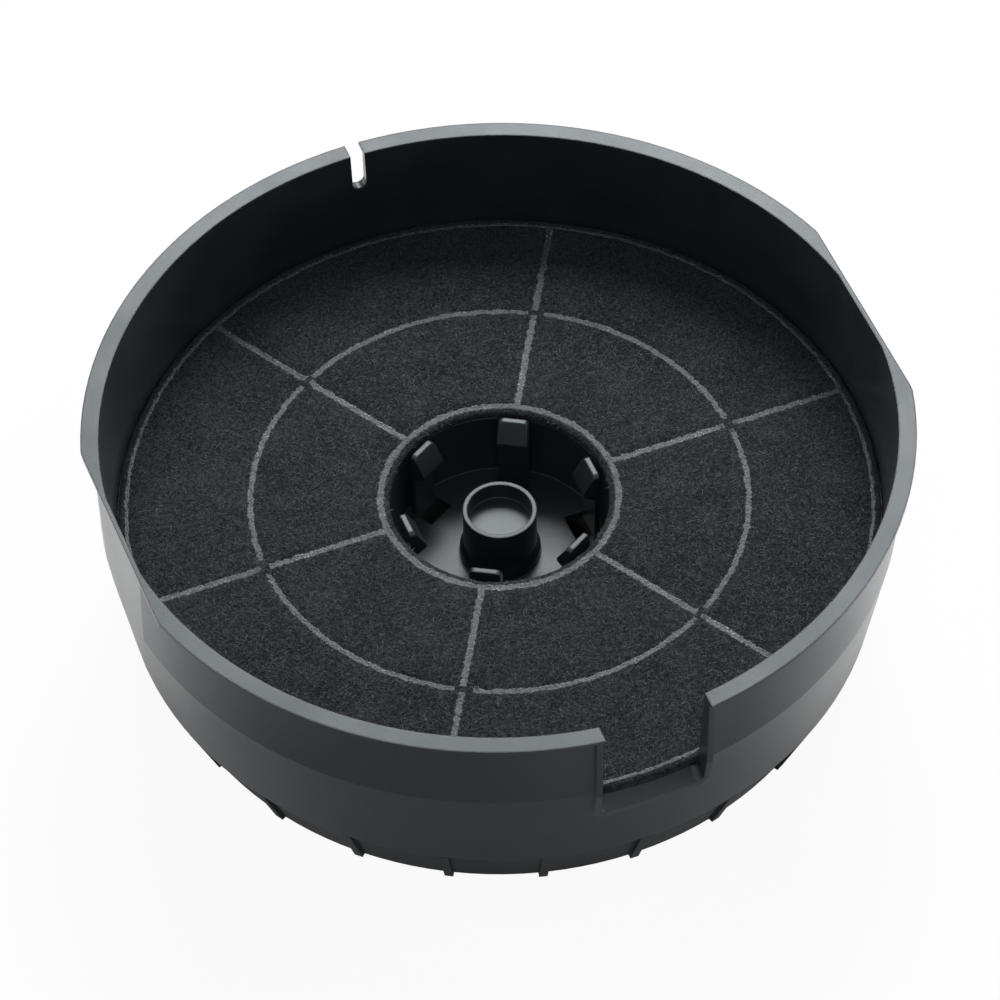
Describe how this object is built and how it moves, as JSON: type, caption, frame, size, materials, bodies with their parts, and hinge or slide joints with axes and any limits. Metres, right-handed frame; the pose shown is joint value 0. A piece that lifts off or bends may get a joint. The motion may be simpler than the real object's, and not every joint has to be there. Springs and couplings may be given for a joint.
{
  "type": "cooker hood carbon filter",
  "caption": "Round recirculating cooker hood filter: carbon granules between felts in a plastic housing with a deep notched skirt, snap hooks and a centre socket.",
  "frame": {"origin": "on the filter's axis, in the plane of the grille's spokes that the filter stands on", "axes": "+Z along the axis, out of the skirt and the centre socket; -Y through the middle of the wide notch, +Y through the narrow slit, and X through the two flat grips"},
  "size_m": [0.1824, 0.1892, 0.064],
  "materials": {
    "housing_plastic": "satin moulded",
    "grille_plastic": "satin moulded",
    "felt": "needled fleece",
    "carbon": "dull granules"
  },
  "bodies": {
    "root": {"housing": "housing_plastic", "bottom_grille": "grille_plastic", "top_felt": "felt", "bottom_felt": "felt", "carbon_inner_1": "carbon", "carbon_inner_2": "carbon", "carbon_inner_3": "carbon", "carbon_inner_4": "carbon", "carbon_inner_5": "carbon", "carbon_inner_6": "carbon", "carbon_outer_1": "carbon", "carbon_outer_2": "carbon", "carbon_outer_3": "carbon", "carbon_outer_4": "carbon", "carbon_outer_5": "carbon", "carbon_outer_6": "carbon"}
  },
  "joints": []
}
